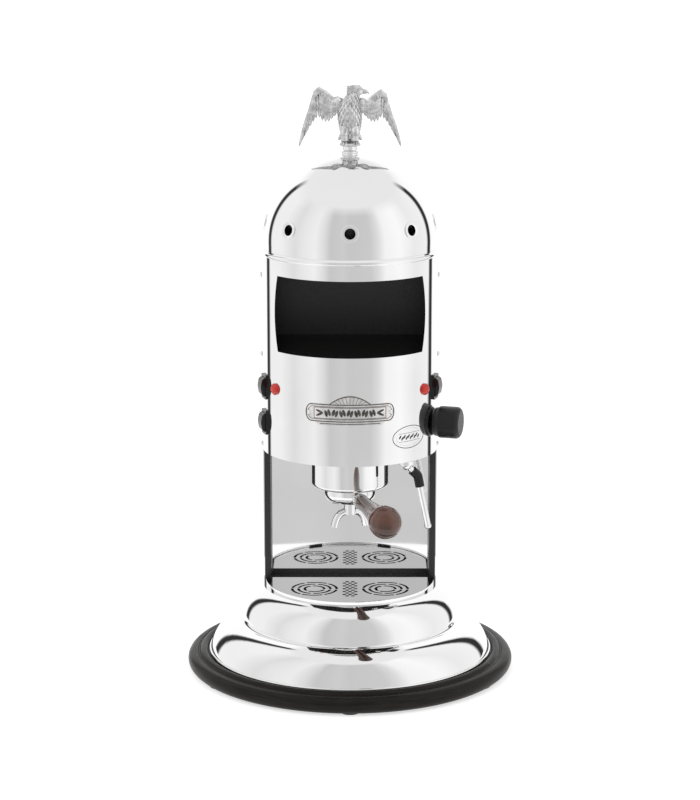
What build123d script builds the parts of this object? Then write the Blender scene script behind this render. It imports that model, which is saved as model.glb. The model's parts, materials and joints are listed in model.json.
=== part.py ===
from build123d import *
import os
from math import asin, cos, degrees, radians, sin, sqrt

# Upright drum-type espresso machine.  Millimetres, +Z up, the front faces -Y,
# origin on the machine's axis at the surface that it stands on.

# ---------------------------------------------------------------- fits
running_gap = 0.05        # radial clearance of a pin or spindle that turns in its bore
slip_gap = 0.3            # clearance of pieces that lift out or turn past each other
drop_in_gap = 1.0         # clearance round pieces that drop into an opening by hand
press_depth = 1.2         # how far small trim reaches behind the face that it sits on

# ---------------------------------------------------------------- base
foot_count = 6
foot_height = 2.0
foot_radius = 11.0
plinth_radius = 185.0
plinth_height = 18.0
plinth_bore = 150.0
plate_thickness = 3.0
plate_overlap = 6.0       # how far the base plate reaches under the plinth
cover_radius = 160.0
cover_height = 81.6       # foot of the cover to the top of its lip
cover_sheet = 1.2
cover_waist = 124.0       # radius of the upright wall between flare and shoulder
lip_radius = 95.6
lip_height = 4.4
post_radius = 3.0
deck_thickness = 3.0
tray_depth = 45.0
tray_sheet = 1.2
tray_flange = 3.5         # width of the tray's rim that rests on the deck
grid_thickness = 1.9

# ---------------------------------------------------------------- casing
casing_radius = 98.0
casing_sheet = 1.2
brewing_bay_height = 158.1
casing_height = 219.7
upright_width = 6.9
upright_depth = 30.0
floor_thickness = 2.5
panel_sheet = 1.2
cup_bay_sill = 120.0      # casing bottom edge to the cup bay's lower edge
cup_bay_height = 83.8
cup_bay_corner_angle = 53.6
cup_bay_bulge_angle = 57.0
cup_bay_depth = 143.0     # front of the casing to the bay's rear wall
screw_head_radius = 3.3
screw_shank_radius = 1.5

# ---------------------------------------------------------------- top
ring_height = 7.0
dome_radius = 95.7
dome_collar = 7.8
dome_sheet = 1.2
porthole_count = 8
porthole_height = 20.2    # above the dome's centre
porthole_bore = 6.0
eyelet_radius = 9.5
stem_radius = 9.6
stem_height = 9.0
eagle_height = 67.5
eagle_span = 114.0
stem_bolt_radius = 4.0
tank_radius = 72.0
tank_height = 70.0
tank_wall = 2.0
lid_thickness = 3.0

# ---------------------------------------------------------------- boiler
boiler_radius = 52.0
boiler_height = 88.0
boiler_wall = 1.5
flange_overhang = 10.0
flange_thickness = 5.0
bolt_count = 6
pressurestat_xy = (20.0, 10.0)
safety_xy = (-20.0, 10.0)

# ---------------------------------------------------------------- group and portafilter
group_offset = 20.0       # group axis in front of the machine's axis
bell_radius = 44.0
bell_height = 40.3
bell_sheet = 1.5
bell_edge_radius = 5.0
group_neck_radius = 22.0
group_casting_radius = 36.4
rim_radius = 33.0         # portafilter rim that turns in the group
cup_radius = 29.5
cup_depth = 19.0
cup_wall = 2.0
lug_reach = 1.9
lug_height = 3.2
basket_depth = 15.0
handle_angle = 16.0       # handle direction when locked, towards the right
unlock_turn = 58.0
handle_length = 155.0     # group axis to the end of the handle
handle_drop = 8.5         # handle axis below the bell's edge
neck_radius = 8.5
bulb_radius = 17.8
ferrule_start = 42.0      # group axis to the ferrule
ferrule_length = 8.0
spout_reach = 18.5
spout_drop = 48.0         # spout tips below the bell's edge

# ---------------------------------------------------------------- steam
side_angle = 73.0         # switches and steam knob, from the front
knob_radius = 17.8
knob_length = 29.0
knob_gap = 1.6
spindle_radius = 4.0
valve_radius = 11.0
valve_near = 62.0
valve_far = 88.0
ball_radius = 6.0
ball_xy = (62.0, -59.0)   # wand's ball, seen from above
ball_drop = 7.0           # ball's centre below the casing's bottom edge
nut_stem_radius = 5.0
wand_elbow = (13.0, 3.5, -13.0)   # wand's bend from the ball's centre
wand_reach = (25.0, 7.0, -74.0)   # wand's end from the ball's centre
wand_radius = 3.5
wand_grip_radius = 5.2

# ---------------------------------------------------------------- switches, lamps and badge
bezel_width = 18.0
bezel_height = 27.5
bezel_stand = 2.2
rocker_width = 14.0
rocker_height = 21.0
rocker_stand = 7.2
rocker_corner = 5.0
rocker_pivot_depth = 1.2  # pivot behind the bezel's front, so that a full paddle can tilt in its well
upper_switch_height = 75.4    # above the casing's bottom edge
lower_switch_height = 35.4
lamp_angle = 56.5
lamp_radius = 6.5
lamp_height = 77.4
badge_width = 96.6
badge_bar_height = 20.0   # straight bar with rounded ends
badge_arch_width = 44.8   # arch on top of the bar
badge_arch_rise = 9.0
badge_foot_width = 69.0   # strip under the bar
badge_foot_drop = 3.6
badge_middle = 59.7       # casing's bottom edge to the bar's middle
badge_sheet = 1.4

# ---------------------------------------------------------------- rear chamber
pump_y = 62.0
pipe_holes = ((24.0, 74.0), (-24.0, 74.0))
inlet_height_above_ledge = 32.0
inlet_width = 27.0
inlet_height = 20.0

# ---------------------------------------------------------------- heights that follow
plinth_top = foot_height + plinth_height
plate_top = foot_height + plate_thickness + 3.0
lip_top = plinth_top + cover_height
ledge_z = lip_top - lip_height
deck_top = ledge_z - cover_sheet
deck_bottom = deck_top - deck_thickness
casing_bottom = ledge_z + brewing_bay_height
casing_top = casing_bottom + casing_height
floor_bottom = casing_bottom + 1.0
floor_top = floor_bottom + floor_thickness
cup_bay_bottom = casing_bottom + cup_bay_sill
cup_bay_top = cup_bay_bottom + cup_bay_height
shelf_top = cup_bay_bottom - 0.3
shelf_bottom = shelf_top - panel_sheet
tank_shelf_z = cup_bay_top + 3.0
tank_z = tank_shelf_z + panel_sheet
ring_top = casing_top + ring_height
dome_centre = ring_top + dome_collar
stem_z = dome_centre + dome_radius - 0.6
eagle_z = stem_z + stem_height
bell_bottom = floor_bottom - bell_height
inner_radius = casing_radius - casing_sheet
frame_radius = inner_radius - 0.1
group_y = -group_offset
lip_inner = lip_radius - cover_sheet
upright_inner = inner_radius - upright_width
bay_wall_y = cup_bay_depth - casing_radius
splash_y = upright_depth - 2.0
boiler_z = floor_top + 6.0
boiler_shell_z = boiler_z + flange_thickness
boiler_top = boiler_shell_z + boiler_height
flange_radius = boiler_radius + flange_overhang
bolt_circle = boiler_radius + flange_overhang / 2 + 1.0
cup_top = bell_bottom + 1.5
cup_bottom = cup_top - cup_depth
gasket_bottom = bell_bottom + 8.0
lug_bottom = bell_bottom + 3.4
group_ceiling = gasket_bottom + 4.0
basket_rim = gasket_bottom - 0.1
portafilter_top = basket_rim - 0.8
handle_z = bell_bottom - handle_drop
ferrule_end = ferrule_start + ferrule_length
knob_z = casing_bottom + lower_switch_height
ball_z = casing_bottom - ball_drop
ball_centre = (ball_xy[0], ball_xy[1], ball_z)
wand_bend = tuple(a + b for a, b in zip(ball_centre, wand_elbow))
wand_end = tuple(a + b for a, b in zip(ball_centre, wand_reach))
rocker_pivot = casing_radius + bezel_stand - rocker_pivot_depth
inlet_z = ledge_z + inlet_height_above_ledge


# ---------------------------------------------------------------- drawing helpers
def disc(radius, low, high, x=0.0, y=0.0):
    """Upright cylinder between two heights."""
    return Pos(x, y, low) * Cylinder(radius, high - low, align=(Align.CENTER, Align.CENTER, Align.MIN))


def tube(outer, inner, low, high, x=0.0, y=0.0):
    """Upright tube between two heights."""
    return disc(outer, low, high, x, y) - disc(inner, low - 1, high + 1, x, y)


def block(x_low, x_high, y_low, y_high, z_low, z_high):
    """Box given by its two corners."""
    size = Box(x_high - x_low, y_high - y_low, z_high - z_low, align=(Align.MIN,) * 3)
    return Pos(x_low, y_low, z_low) * size


def upright_face(*outline):
    """Face in the XZ plane inside an outline drawn as (x, height)."""
    return make_face([edge for piece in outline for edge in (Plane.XZ * piece).edges()])


def slab(y_near, y_far, *outline):
    """Plate between two distances along Y, of an outline drawn as (x, height)."""
    return Pos(0, y_far, 0) * extrude(upright_face(*outline), y_far - y_near, dir=(0, -1, 0))


def turned(*outline):
    """Solid of revolution about Z of an outline drawn as (radius, height)."""
    return revolve(upright_face(*outline), Axis.Z)


def line(*points):
    return Polyline(*points)


def arc(start, middle, end):
    return ThreePointArc(start, middle, end)


def cap(radius, low, high):
    """Outline of a spherical cap from its rim up to its crown on the axis."""
    rise = high - low
    ball = (radius ** 2 + rise ** 2) / (2 * rise)
    return arc((radius, low), (radius / 2, high - ball + sqrt(ball ** 2 - radius ** 2 / 4)), (0, high))


def facing(angle, height):
    """Place on the casing: local -Y points out at this angle from the front, to the right."""
    return Pos(0, 0, height) * Rot(0, 0, angle)


def rod(radius, start, end):
    """Straight round bar between two points."""
    axis = Vector(*end) - Vector(*start)
    bar = Cylinder(radius, axis.length, align=(Align.CENTER, Align.CENTER, Align.MIN))
    return Plane(origin=start, z_dir=axis) * bar


def outward_rod(radius, near, far):
    """Round bar along local -Y between two distances from the axis."""
    return rod(radius, (0, -near, 0), (0, -far, 0))


def bent_rod(radius, points, bends):
    """Round bar along straight runs joined by arcs."""
    path = FilletPolyline(*points, radius=bends)
    start = Plane(origin=path @ 0, z_dir=path % 0)
    return sweep(start * Circle(radius), path=path)


def ring_of(count, radius, shape, first=0.0):
    """Copies of a shape, evenly spaced about Z, carried out along X."""
    step = 360 / count
    return [Rot(0, 0, first + step * n) * Pos(radius, 0, 0) * shape for n in range(count)]


# ---------------------------------------------------------------- base
def base_plinth():
    """Turned ring: bullnose outside, a groove and a bead round the cover's foot."""
    top = plinth_top
    nose = plinth_radius
    bead_inner = cover_radius + 2.0
    bead_outer = bead_inner + 9.5
    ledge = plate_top
    return turned(
        line((plinth_bore + plate_overlap, foot_height), (nose - 6, foot_height)),
        arc((nose - 6, foot_height), (nose, foot_height + 8), (nose - 10, top - 0.4)),
        line((nose - 10, top - 0.4), (bead_outer + 2.5, top)),
        arc((bead_outer + 2.5, top), (bead_outer + 1.3, top - 0.9), (bead_outer, top)),
        arc((bead_outer, top), ((bead_inner + bead_outer) / 2, top + 3), (bead_inner, top)),
        line((bead_inner, top), (plinth_bore, top), (plinth_bore, ledge),
             (plinth_bore + plate_overlap, ledge), (plinth_bore + plate_overlap, foot_height)),
    )


def rubber_feet():
    circle = (plinth_radius + plinth_bore) / 2
    foot = disc(foot_radius, 0, foot_height)
    foot = chamfer(foot.faces().sort_by(Axis.Z)[0].edges(), 0.6)
    return Compound(children=ring_of(foot_count, circle, foot, first=30))


def base_plate():
    return disc(plinth_bore + plate_overlap - 0.5, plate_top - plate_thickness, plate_top)


def cover_solid(inset):
    """Turned form of the base cover, moved in and down by the inset."""
    foot = cover_radius - 0.8 - inset
    low = plinth_top
    flare_top = (cover_waist + 4.5 - inset, low + 37.8 - inset)
    neck = (cover_waist + 0.9 - inset, low + 39.6 - inset)
    wall = (cover_waist - 0.4 - inset, low + 42.6 - inset)
    shoulder = (cover_waist - 11.3 - inset, low + 67.0 - inset)
    shoulder_top = (casing_radius + 0.8 - inset, ledge_z - inset)
    return turned(
        line((0, low), (foot, low), (foot, low + 3.4)),
        arc((foot, low + 3.4), (cover_radius - 13.7 - inset, low + 26 - inset), flare_top),
        arc(flare_top, neck, wall),
        arc(wall, shoulder, shoulder_top),
        line(shoulder_top, (0, ledge_z - inset), (0, low)),
    )


def base_cover():
    """Spun sheet cover with a rolled edge at its foot and a lip at its mouth."""
    rolled_edge = turned(
        arc((cover_radius - 0.8, plinth_top), (cover_radius + 0.9, plinth_top + 1.7),
            (cover_radius - 0.8, plinth_top + 3.4)),
        line((cover_radius - 0.8, plinth_top + 3.4), (cover_radius - 0.8, plinth_top)),
    )
    lip = tube(lip_radius, lip_inner, deck_top, lip_top)
    lip = fillet(lip.faces().sort_by(Axis.Z)[-1].edges(), cover_sheet * 0.4)
    sheet = cover_solid(0) - cover_solid(cover_sheet) - disc(lip_inner, deck_top - 1, lip_top)
    return sheet + rolled_edge + lip


def base_posts():
    """Four posts from the base plate to the deck, outside the drip tray."""
    post = disc(post_radius, plate_top, deck_bottom)
    return Compound(children=ring_of(4, casing_radius - post_radius - 1.5, post, first=45))


def tray_plan(shrink, low, high):
    """Round plan with flat sides and a flat back, which clears the uprights and the seal."""
    half = upright_inner - drop_in_gap - shrink
    back = splash_y - 1.5 - slip_gap - shrink
    radius = lip_inner - 0.8 - shrink
    return disc(radius, low, high) & block(-half, half, -radius, back, low, high)


def base_deck():
    """Plate under the cover's mouth.  It carries the tray, the uprights and the panel."""
    deck = disc(casing_radius - 0.7, deck_bottom, deck_top)
    deck -= tray_plan(tray_flange, deck_bottom - 1, deck_top + 1)
    return deck


def drip_tray():
    bottom = deck_top - tray_depth
    basin_gap = tray_flange + drop_in_gap
    tray = tray_plan(basin_gap, bottom, deck_top) + tray_plan(0, deck_top, deck_top + tray_sheet)
    return tray - tray_plan(basin_gap + tray_sheet, bottom + tray_sheet, deck_top + 2 * tray_sheet)


def drip_grid():
    """Polished disc with two rosettes of arc slots, and a honeycomb of holes between them."""
    low = deck_top + tray_sheet
    high = low + grid_thickness
    grid = tray_plan(0.2, low, high)
    rosette_x = 40.0
    rosette_y = group_y - 16.0
    cuts = []
    for side in (-1, 1):
        for radius, arcs in ((11.0, 3), (18.0, 4), (25.0, 6)):
            for n in range(arcs):
                start = 360 / arcs * n
                slot = CenterArc((0, 0), radius, start, 360 / arcs - 360 * 5 / (6.28 * radius))
                cuts.append(Pos(side * rosette_x, rosette_y, low - 1) * extrude(
                    SlotArc(slot, 3.0), grid_thickness + 2))
    pitch = 6.4
    for row in range(-5, 6):
        for column in range(-1, 2):
            x = pitch * (column + 0.5 * (row % 2))
            y = rosette_y + pitch * 0.866 * row
            if x <= pitch:
                hole = extrude(RegularPolygon(2.4, 6), grid_thickness + 2)
                cuts.append(Pos(x, y, low - 1) * hole)
    return grid - cuts


# ---------------------------------------------------------------- casing
def lip_envelope():
    """Ring that the cover's lip and ledge fill above the deck."""
    return tube(casing_radius + 5, lip_inner, deck_top - 1, lip_top)


def upright(side):
    """Side frame bar.  Above the brewing bay it reaches forward to take the side screws."""
    near = upright_inner
    far = casing_radius
    lower = block(near, far, 0, upright_depth, deck_top, shelf_bottom)
    upper = block(near, far, -9, 0, casing_bottom + 0.2, shelf_bottom)
    bar = (lower + upper) & disc(inner_radius, deck_top, shelf_bottom)
    bar -= lip_envelope()
    return bar if side > 0 else mirror(bar, Plane.YZ)


def splash_panel():
    panel = block(-upright_inner, upright_inner, splash_y, splash_y + panel_sheet, deck_top, floor_bottom)
    return panel - lip_envelope()


def splash_seal():
    half = upright_inner - 0.5
    return block(-half, half, splash_y - 1.5, splash_y, deck_top, deck_top + 8)


def screw_places():
    """Angle and height of each side screw."""
    heights = (casing_bottom + 4.7, casing_bottom + 107.7, casing_bottom + 196.7)
    return [(angle, height) for angle in (-88.0, 88.0) for height in heights]


def shell_screws():
    screws = []
    for angle, height in screw_places():
        head = Sphere(screw_head_radius * 1.2)
        head = Pos(0, -casing_radius + 1.6, 0) * head
        head &= outward_rod(screw_head_radius, casing_radius, casing_radius + 4)
        shank = outward_rod(screw_shank_radius, casing_radius - 2.2, casing_radius)
        screws.append(facing(angle, height) * (head + shank))
    return Compound(children=screws)


def screw_holes():
    return [facing(angle, height) * outward_rod(screw_shank_radius, casing_radius - 2.2, casing_radius + 3)
            for angle, height in screw_places()]


def cup_bay_window(depth):
    """Cutter for the cup bay: level edges above and below, sides bowed outwards."""
    corner = casing_radius * sin(radians(cup_bay_corner_angle))
    bulge = casing_radius * sin(radians(cup_bay_bulge_angle))
    low = cup_bay_bottom
    high = cup_bay_top
    middle = (low + high) / 2
    return slab(
        -casing_radius - 2, depth - casing_radius,
        line((-corner, low), (corner, low)),
        arc((corner, low), (bulge, middle), (corner, high)),
        line((corner, high), (-corner, high)),
        arc((-corner, high), (-bulge, middle), (-corner, low)),
    )


def switch_places():
    return {
        "power_rocker": (-side_angle, casing_bottom + upper_switch_height),
        "pump_rocker": (-side_angle, casing_bottom + lower_switch_height),
        "boiler_rocker": (side_angle, casing_bottom + upper_switch_height),
    }


def lamp_places():
    return [(angle, casing_bottom + lamp_height) for angle in (-lamp_angle, lamp_angle)]


def rivet_places():
    reach = badge_width / 2 - 4.6
    angle = degrees(asin(reach / casing_radius))
    return [(side * angle, casing_bottom + badge_middle) for side in (-1, 1)]


def front_cutters():
    cutters = [cup_bay_window(60)]
    for angle, height in switch_places().values():
        half_width = bezel_width / 2 - press_depth
        half_height = bezel_height / 2 - press_depth
        cutters.append(facing(angle, height) * block(
            -half_width, half_width, -casing_radius - 3, -casing_radius + 8, -half_height, half_height))
    for angle, height in lamp_places():
        cutters.append(facing(angle, height) * outward_rod(lamp_radius - 1, 90, casing_radius + 3))
    for angle, height in rivet_places():
        cutters.append(facing(angle, height) * outward_rod(1.2, 90, casing_radius + 3))
    knob_hole = outward_rod(spindle_radius + 1.5, 90, casing_radius + 3)
    cutters.append(facing(side_angle, casing_bottom + lower_switch_height) * knob_hole)
    return cutters


def front_shell():
    half = block(-casing_radius, casing_radius, -casing_radius, 0, casing_bottom, casing_top)
    shell = tube(casing_radius, inner_radius, casing_bottom, casing_top) & half
    return shell - front_cutters() - screw_holes()


def rear_shell():
    half = block(-casing_radius, casing_radius, 0, casing_radius, ledge_z, casing_top)
    shell = tube(casing_radius, inner_radius, ledge_z, casing_top) & half
    vents = []
    for n in range(5):
        low = casing_bottom + 40 + 9 * n
        vents.append(block(-28, 28, 80, 110, low, low + 3.0))
    return shell - vents - [inlet_envelope()] - screw_holes()


def body_floor():
    """Floor of the upper casing, between the shells, round the uprights."""
    plate = disc(frame_radius, floor_bottom, floor_top)
    for side in (-1, 1):
        notch = block(upright_inner, casing_radius, -9, upright_depth, floor_bottom - 1, floor_top + 1)
        plate -= notch if side > 0 else mirror(notch, Plane.YZ)
    plate -= disc(group_neck_radius, floor_bottom - 1, floor_top + 1, 0, group_y)
    plate -= disc(nut_stem_radius, floor_bottom - 1, floor_top + 1, *ball_xy)
    plate -= [disc(4, floor_bottom - 1, floor_top + 1, x, y) for x, y in pipe_holes]
    return plate


def cup_shelf():
    shelf = disc(frame_radius, shelf_bottom, shelf_top)
    return shelf - [disc(4, shelf_bottom - 1, shelf_top + 1, *pipe_holes[0])]


def cup_bay_liner():
    """Dark lining of the cup bay: a drum against the shells with a flat rear wall."""
    drum = tube(frame_radius, frame_radius - 1.0, shelf_top, tank_shelf_z)
    rear = block(-frame_radius, frame_radius, bay_wall_y, bay_wall_y + 1.2, shelf_top, tank_shelf_z)
    rear &= disc(frame_radius - 0.5, shelf_top, tank_shelf_z)
    return (drum + rear) - cup_bay_window(60) - screw_holes()


def tank_shelf():
    shelf = disc(frame_radius, tank_shelf_z, tank_z)
    return shelf - [disc(4, tank_shelf_z - 1, tank_z + 1, *pipe_holes[0])]


# ---------------------------------------------------------------- top
def top_ring():
    """Bead ring between casing and dome, with a spigot that centres the dome."""
    low = casing_top
    bore = dome_radius - dome_sheet - 4.5
    spigot = dome_radius - dome_sheet - slip_gap
    edge = casing_radius + 0.2
    return turned(
        line((bore, low), (edge, low), (edge, low + 0.8)),
        arc((edge, low + 0.8), (edge + 1.3, low + 3.2), (edge, low + 5.6)),
        line((edge, low + 5.6), (edge - 1.0, ring_top), (spigot, ring_top), (spigot, ring_top + 4),
             (bore, ring_top + 4), (bore, low)),
    )


def dome_form(radius):
    cap = Pos(0, 0, dome_centre) * Sphere(radius)
    cap &= block(-radius, radius, -radius, radius, dome_centre, dome_centre + radius)
    return cap + disc(radius, ring_top, dome_centre)


def porthole_axes():
    """Places on the dome with local +X along the outward normal."""
    lift = degrees(asin(porthole_height / dome_radius))
    step = 360 / porthole_count
    return [Pos(0, 0, dome_centre) * Rot(0, 0, -90 + step * n) * Rot(0, -lift, 0)
            for n in range(porthole_count)]


def along_x(radius, near, far):
    return rod(radius, (near, 0, 0), (far, 0, 0))


def dome():
    shell = dome_form(dome_radius) - dome_form(dome_radius - dome_sheet)
    holes = [place * along_x(eyelet_radius - 1.0, dome_radius - 8, dome_radius + 4)
             for place in porthole_axes()]
    return shell - holes - [disc(stem_bolt_radius, dome_centre, dome_centre + dome_radius + 4)]


def porthole_eyelets():
    """Bright rings pressed into the dome's portholes, with their flanges on the dome."""
    barrel = eyelet_radius - 1.0
    face = dome_radius + 1.0

    def on_dome(radius):
        return (radius, sqrt(dome_radius ** 2 - radius ** 2))

    eyelet = turned(
        line((porthole_bore, dome_radius - 3.2), (barrel, dome_radius - 3.2), on_dome(barrel)),
        arc(on_dome(barrel), on_dome(barrel + 0.5), on_dome(eyelet_radius)),
        line(on_dome(eyelet_radius), (eyelet_radius, face - 0.7)),
        arc((eyelet_radius, face - 0.7), (eyelet_radius - 0.3, face - 0.1), (eyelet_radius - 1.0, face)),
        line((eyelet_radius - 1.0, face), (porthole_bore, face - 0.6), (porthole_bore, dome_radius - 3.2)),
    )
    return Compound(children=[place * Rot(0, 90, 0) * eyelet for place in porthole_axes()])


def finial_stem():
    """Turned stem with a bolt through the dome and a round nut under it."""
    under = dome_centre + dome_radius - dome_sheet
    seat = Pos(0, 0, dome_centre) * Sphere(dome_radius)
    side = stem_radius - 0.6
    stem = turned(
        line((0, stem_z - 2), (side, stem_z - 2), (side, stem_z + 1.4)),
        arc((side, stem_z + 1.4), (stem_radius, stem_z + 2.6), (side, stem_z + 3.8)),
        line((side, stem_z + 3.8), (side - 1.0, stem_z + 5.0), (side - 1.0, eagle_z), (0, eagle_z),
             (0, stem_z - 2)),
    )
    bolt = disc(stem_bolt_radius, under - 6, stem_z + 1)
    nut = disc(stem_bolt_radius + 5, under - 5, under)
    nut &= Pos(0, 0, dome_centre) * Sphere(dome_radius - dome_sheet)
    return (stem - seat) + bolt + nut


def eagle_wing(side):
    """One spread, drooping wing as a curved plate with a scalloped lower edge."""
    z = eagle_z
    half = eagle_span / 2
    plate = slab(
        -8, 8,
        Spline((5, z + 48), (18, z + 55), (34, z + 62.4)),
        Spline((34, z + 62.4), (43, z + 46), (50, z + 20), (half - 0.5, z + 1)),
        Spline((half - 0.5, z + 1), (44, z + 6), (36, z + 22), (25, z + 25), (5, z + 30)),
        line((5, z + 30), (5, z + 48)),
    )
    left = (-half - 13, 57.5, z + 30)
    right = (half + 13, 57.5, z + 30)
    plate &= rod(60, left, right) - rod(55.5, left, right)
    return plate if side > 0 else mirror(plate, Plane.YZ)


def eagle_finial():
    """Cast eagle: body, neck and turned head, spread wings, legs and a small base."""
    z = eagle_z
    body = Pos(0, 0, z + 32) * Rot(8, 0, 0) * scale(Sphere(10), (1.25, 1.1, 2.2))
    neck = rod(6.0, (0, -2, z + 46), (5, -3, z + 58))
    head = Pos(7.0, -3.5, z + 60.3) * scale(Sphere(7.0), (1.15, 0.95, 1.0))
    beak = Pos(15.5, -3.8, z + 58.8) * Rot(0, 100, 0) * Cone(3.6, 0.8, 9.5)
    tail = rod(5.5, (-2, 5, z + 18), (-11, 7, z + 4))
    legs = [rod(4.2, (x, -3, z + 18), (x * 1.1, -2, z + 2)) for x in (-6, 6)]
    base = disc(stem_radius + 4, z, z + 3)
    return base + [body, neck, head, beak, tail, eagle_wing(1), eagle_wing(-1)] + legs


def water_tank():
    low = tank_z
    outer = disc(tank_radius, low, low + tank_height)
    return outer - disc(tank_radius - tank_wall, low + tank_wall, low + tank_height + 1)


def tank_lid():
    low = tank_z + tank_height
    plug = disc(tank_radius - tank_wall - slip_gap, low - 3, low)
    knob = disc(9, low + lid_thickness, low + lid_thickness + 7)
    knob = fillet(knob.faces().sort_by(Axis.Z)[-1].edges(), 2)
    return disc(tank_radius, low, low + lid_thickness) + plug + knob


# ---------------------------------------------------------------- boiler
def boiler():
    """Drum with a domed end and a bottom rim that bolts to the flange."""
    def form(inset):
        side = boiler_radius - inset
        top = boiler_top - inset
        return turned(
            line((0, boiler_shell_z), (side, boiler_shell_z), (side, top - 10)),
            cap(side, top - 10, top),
            line((0, top), (0, boiler_shell_z)),
        )
    rim = tube(flange_radius, boiler_radius - 0.5, boiler_shell_z, boiler_shell_z + 3)
    drum = form(0) - form(boiler_wall) + rim
    drum -= ring_of(bolt_count, bolt_circle, disc(2.1, boiler_shell_z - 1, boiler_shell_z + 5), first=30)
    return drum - disc(5, boiler_top - 20, boiler_top + 5, *pressurestat_xy) \
        - disc(4, boiler_top - 20, boiler_top + 5, *safety_xy)


def boiler_flange():
    plate = disc(flange_radius, boiler_z, boiler_shell_z)
    feet = [Rot(0, 0, angle) * disc(6, floor_top, boiler_z, flange_radius - 8) for angle in (0, 120, 240)]
    holes = ring_of(bolt_count, bolt_circle, disc(2.1, boiler_z - 1, boiler_shell_z + 1), first=30)
    holes.append(disc(3, boiler_z - 1, boiler_shell_z + 1, 0, group_y))
    return (plate + feet) - holes


def boiler_bolts():
    head = extrude(RegularPolygon(4.0, 6), 3.2)
    bolt = Pos(0, 0, boiler_shell_z + 3) * head + disc(2.0, boiler_z - 2, boiler_shell_z + 3)
    return Compound(children=ring_of(bolt_count, bolt_circle, bolt, first=30))


def heating_element():
    """Ring element on two risers inside the boiler."""
    height = boiler_shell_z + 16
    loop = Pos(0, 0, height) * Torus(34, 4)
    risers = [rod(4, (x, 34, boiler_shell_z), (x, 34, height)) for x in (-8, 8)]
    gap = block(-6, 6, 28, 40, height - 6, height + 6)
    return (loop - gap) + risers


def pressurestat():
    """Pressure switch can on a threaded stub in the boiler's top."""
    seat = boiler_top - 1.0
    can = disc(13, seat + 4, shelf_bottom - 1.0, *pressurestat_xy)
    return can + disc(4.9, seat - 8, seat + 4, *pressurestat_xy)


def safety_valve():
    seat = boiler_top - 1.0
    cap = Pos(safety_xy[0], safety_xy[1], seat + 3) * extrude(RegularPolygon(6.5, 6), 7)
    return cap + disc(3.9, seat - 8, seat + 3, *safety_xy)


# ---------------------------------------------------------------- group
def on_group(shape):
    return Pos(0, group_y, 0) * shape


def group_body():
    """Casting with the bayonet ring, its groove and two entry slots."""
    low = bell_bottom + 1.2
    bore = rim_radius + slip_gap
    groove = bore + lug_reach
    groove_low = lug_bottom - slip_gap
    groove_high = lug_bottom + lug_height + slip_gap
    shoulder = floor_bottom - 6
    body = turned(line(
        (bore, low), (group_casting_radius, low), (group_casting_radius, shoulder),
        (group_casting_radius + 4, shoulder), (group_casting_radius + 4, floor_bottom),
        (group_neck_radius, floor_bottom), (group_neck_radius, boiler_z), (3, boiler_z),
        (3, group_ceiling), (bore, group_ceiling), (bore, groove_high), (groove, groove_high),
        (groove, groove_low), (bore, groove_low), (bore, low)))
    entry = disc(groove, low - 1, groove_low + 0.5) & block(0, 50, -14, 14, low - 1, groove_low + 0.5)
    body -= [Rot(0, 0, handle_angle - unlock_turn + turn) * entry for turn in (0, 180)]
    return on_group(body)


def group_bell():
    """Polished bell round the casting, hung from the casing floor."""
    low = bell_bottom
    mouth = group_casting_radius + 0.6
    bend = bell_edge_radius
    inner = bell_radius - bell_sheet
    far = 0.2929 * bend
    near = 0.2929 * (bend - bell_sheet)
    return on_group(turned(
        line((inner, floor_bottom), (bell_radius, floor_bottom), (bell_radius, low + bend)),
        arc((bell_radius, low + bend), (bell_radius - far, low + far), (bell_radius - bend, low)),
        line((bell_radius - bend, low), (mouth, low), (mouth, low + bell_sheet),
             (bell_radius - bend, low + bell_sheet)),
        arc((bell_radius - bend, low + bell_sheet), (inner - near, low + bell_sheet + near),
            (inner, low + bend)),
        line((inner, low + bend), (inner, floor_bottom)),
    ))


def group_gasket():
    return on_group(tube(rim_radius, 27.0, gasket_bottom, group_ceiling))


def shower_screen():
    screen = disc(26.5, group_ceiling - 2.0, group_ceiling)
    holes = [disc(1.0, group_ceiling - 3, group_ceiling - 0.8)]
    for count, radius in ((6, 8), (12, 16), (18, 23)):
        holes += ring_of(count, radius, disc(1.0, group_ceiling - 3, group_ceiling - 0.8))
    return on_group(screen - holes)


# ---------------------------------------------------------------- portafilter
def in_portafilter(shape):
    """Things drawn with the handle along -Y and the group's axis at the origin."""
    return Pos(0, group_y, 0) * Rot(0, 0, handle_angle) * shape


def portafilter_body():
    """Cup with a bayonet rim and lugs, and the neck that carries the handle."""
    lug_radius = rim_radius + lug_reach
    lugs = [Rot(0, 0, turn) * (tube(lug_radius, rim_radius - 1, lug_bottom, lug_bottom + lug_height)
                               & block(0, 50, -11, 11, lug_bottom, lug_bottom + lug_height))
            for turn in (0, 180)]
    form = turned(
        line((0, cup_bottom), (cup_radius - 6, cup_bottom)),
        arc((cup_radius - 6, cup_bottom), (cup_radius - 2.2, cup_bottom + 3.4),
            (cup_radius, cup_bottom + 12)),
        line((cup_radius, cup_bottom + 12), (cup_radius, cup_top + 0.2), (rim_radius, cup_top + 0.2),
             (rim_radius, portafilter_top), (0, portafilter_top), (0, cup_bottom)),
    )
    neck = rod(6.2, (0, -cup_radius + 1.7, handle_z), (0, -ferrule_start, handle_z))
    tang = rod(3.0, (0, -ferrule_start, handle_z), (0, -handle_length * 0.6, handle_z))
    hollow = disc(cup_radius - cup_wall, cup_bottom + 3.5, portafilter_top + 1)
    drain = disc(2.5, cup_bottom - 1, cup_bottom + 4)
    return in_portafilter((form - hollow - drain) + neck + tang + lugs)


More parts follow.
